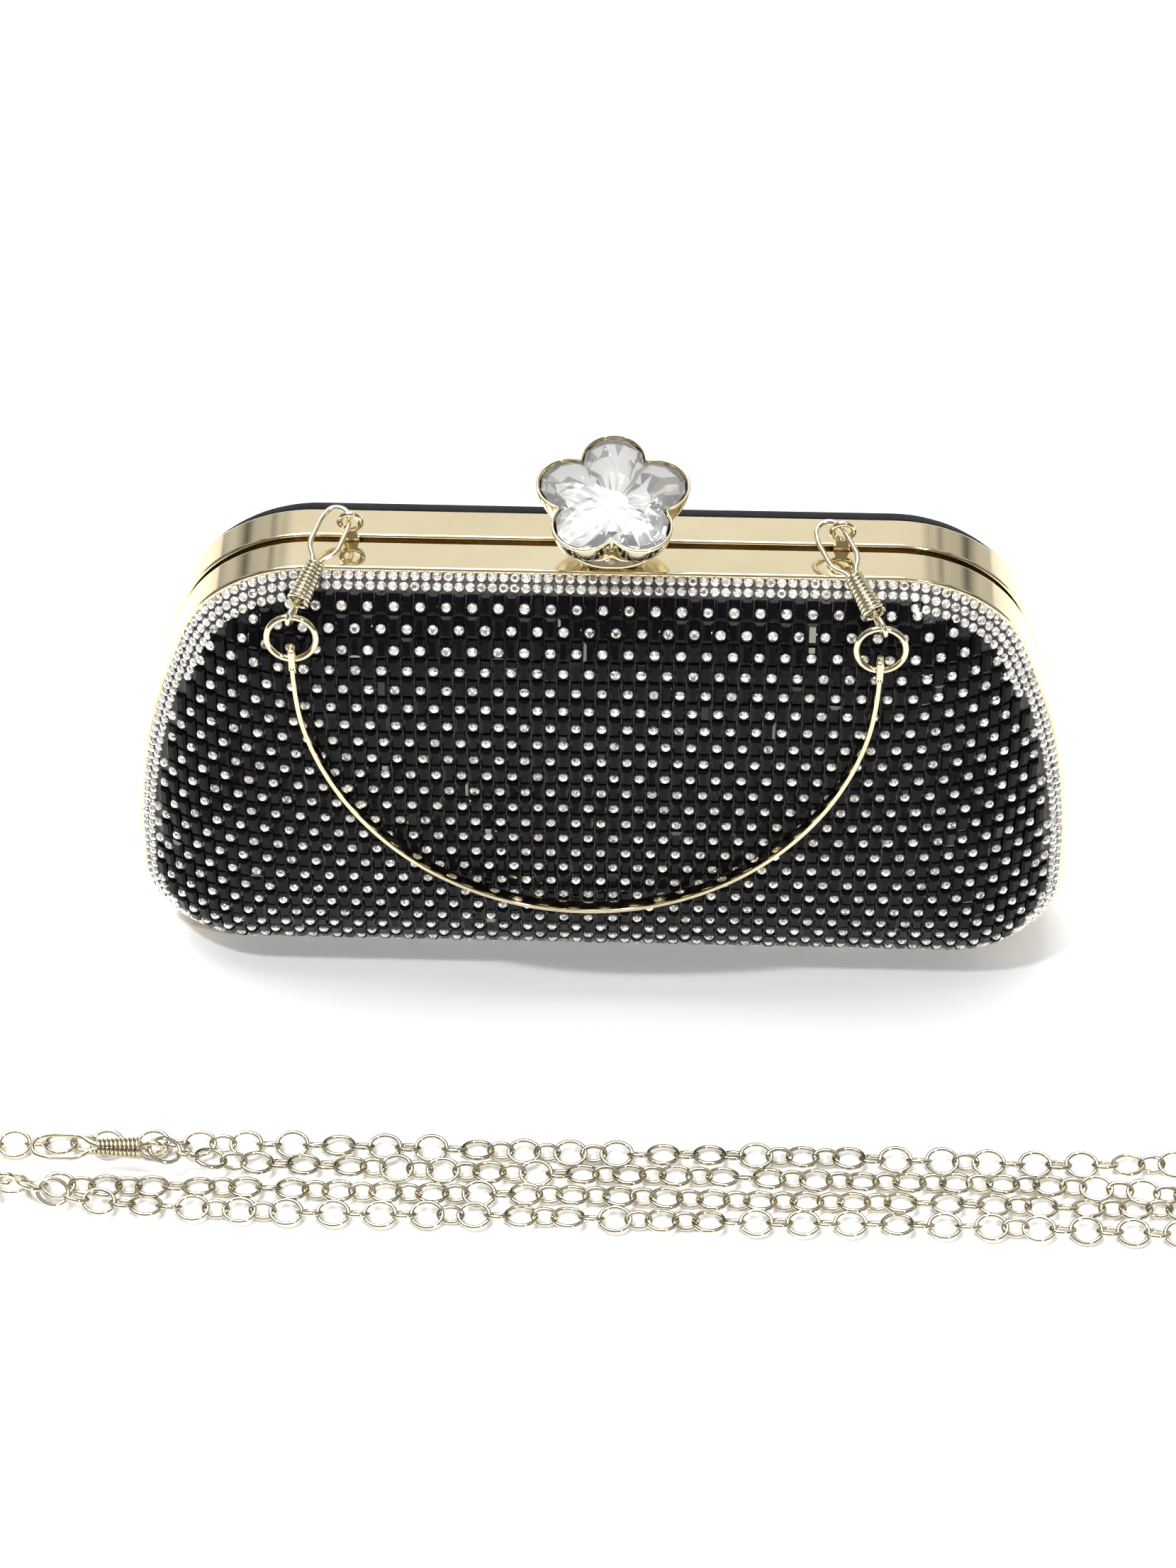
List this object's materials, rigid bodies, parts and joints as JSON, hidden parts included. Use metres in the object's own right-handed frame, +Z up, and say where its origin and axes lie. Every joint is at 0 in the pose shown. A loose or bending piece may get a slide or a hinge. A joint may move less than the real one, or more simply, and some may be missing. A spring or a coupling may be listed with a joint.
{
  "type": "evening bag",
  "caption": "Hard box clutch with two polished metal frames hinged at the base, a crystal-covered front, a velvet back, a flower clasp knob, a stiff wrist band and a detachable shoulder chain.",
  "frame": {"origin": "middle of the flat base on the floor, under the middle of the case", "axes": "+X is the width to the right seen from the front, -Y is the crystal front, +Z is up; the case stands on its frames"},
  "size_m": [0.3248, 0.1281, 0.1531],
  "materials": {
    "pale_gold": "pale gold plate, mirror polished",
    "aged_gold": "bronze-gold plate, satin",
    "steel": "plain steel",
    "hook_metal": "pale gold plated wire",
    "crystal_clear": "cut and foiled clear glass",
    "crystal_black": "black cut stones on black mesh",
    "shell_board": "moulded black shell",
    "velvet": "black velvet",
    "lining": "black satin lining"
  },
  "bodies": {
    "case_front": {"front_frame": "pale_gold", "inner_lip": "aged_gold", "crystal_trim": "crystal_clear", "crystal_panel": "crystal_black", "front_shell": "shell_board", "front_lining": "lining", "front_hinge_leaf": "pale_gold", "hinge_pin": "steel", "eyelet_left": "pale_gold", "eyelet_right": "pale_gold", "clasp_base": "pale_gold", "clasp_pin": "steel"},
    "case_back": {"back_frame": "pale_gold", "velvet_cover": "velvet", "back_shell": "shell_board", "back_lining": "lining", "slip_pocket": "lining", "back_hinge_leaf": "pale_gold", "clasp_keeper": "pale_gold"},
    "flower_clasp": {"flower_cup": "pale_gold", "flower_crystal": "crystal_clear", "clasp_lever": "pale_gold", "clasp_spring": "steel"},
    "hook_left": {"hook_left_wire": "hook_metal", "hook_left_eye": "hook_metal", "hook_left_coil": "hook_metal"},
    "hook_right": {"hook_right_wire": "hook_metal", "hook_right_eye": "hook_metal", "hook_right_coil": "hook_metal"},
    "wrist_handle": {"ring_left": "pale_gold", "ring_right": "pale_gold", "wrist_band": "pale_gold", "band_end_left": "pale_gold", "band_end_right": "pale_gold"},
    "chain": {"shoulder_chain": "pale_gold", "chain_hook_near_wire": "hook_metal", "chain_hook_near_eye": "hook_metal", "chain_hook_near_coil": "hook_metal", "chain_hook_far_wire": "hook_metal", "chain_hook_far_eye": "hook_metal", "chain_hook_far_coil": "hook_metal"}
  },
  "joints": [
    {"name": "case_hinge", "type": "hinge", "parent": "case_front", "child": "case_back", "pos_m": [0, 0, 0.0013], "axis": [-1, 0, 0], "range_deg": [0, 60]},
    {"name": "clasp_tilt", "type": "hinge", "parent": "case_front", "child": "flower_clasp", "pos_m": [0, -0.0045, 0.1332], "axis": [1, 0, 0], "range_deg": [0, 12], "stiffness_Nm_per_rad": 0.25, "springref_deg": -8.59},
    {"name": "hook_left_swing", "type": "hinge", "parent": "case_front", "child": "hook_left", "pos_m": [-0.0585, -0.0003, 0.1366], "axis": [-1, 0, 0], "range_deg": [0, 62]},
    {"name": "hook_right_swing", "type": "hinge", "parent": "case_front", "child": "hook_right", "pos_m": [0.0545, -0.0003, 0.1366], "axis": [-1, 0, 0], "range_deg": [0, 62]},
    {"name": "handle_swing", "type": "hinge", "parent": "hook_left", "child": "wrist_handle", "pos_m": [-0.0709, -0.0234, 0.1286], "axis": [-1, 0, 0], "range_deg": [0, 75]},
    {"name": "chain_lift", "type": "slide", "parent": "case_front", "child": "chain", "axis": [0, 0, 1], "range_m": [0, 0.06]}
  ],
  "couplings": [
    {"joint": "hook_right_swing", "follows": "hook_left_swing", "ratio": 1}
  ]
}
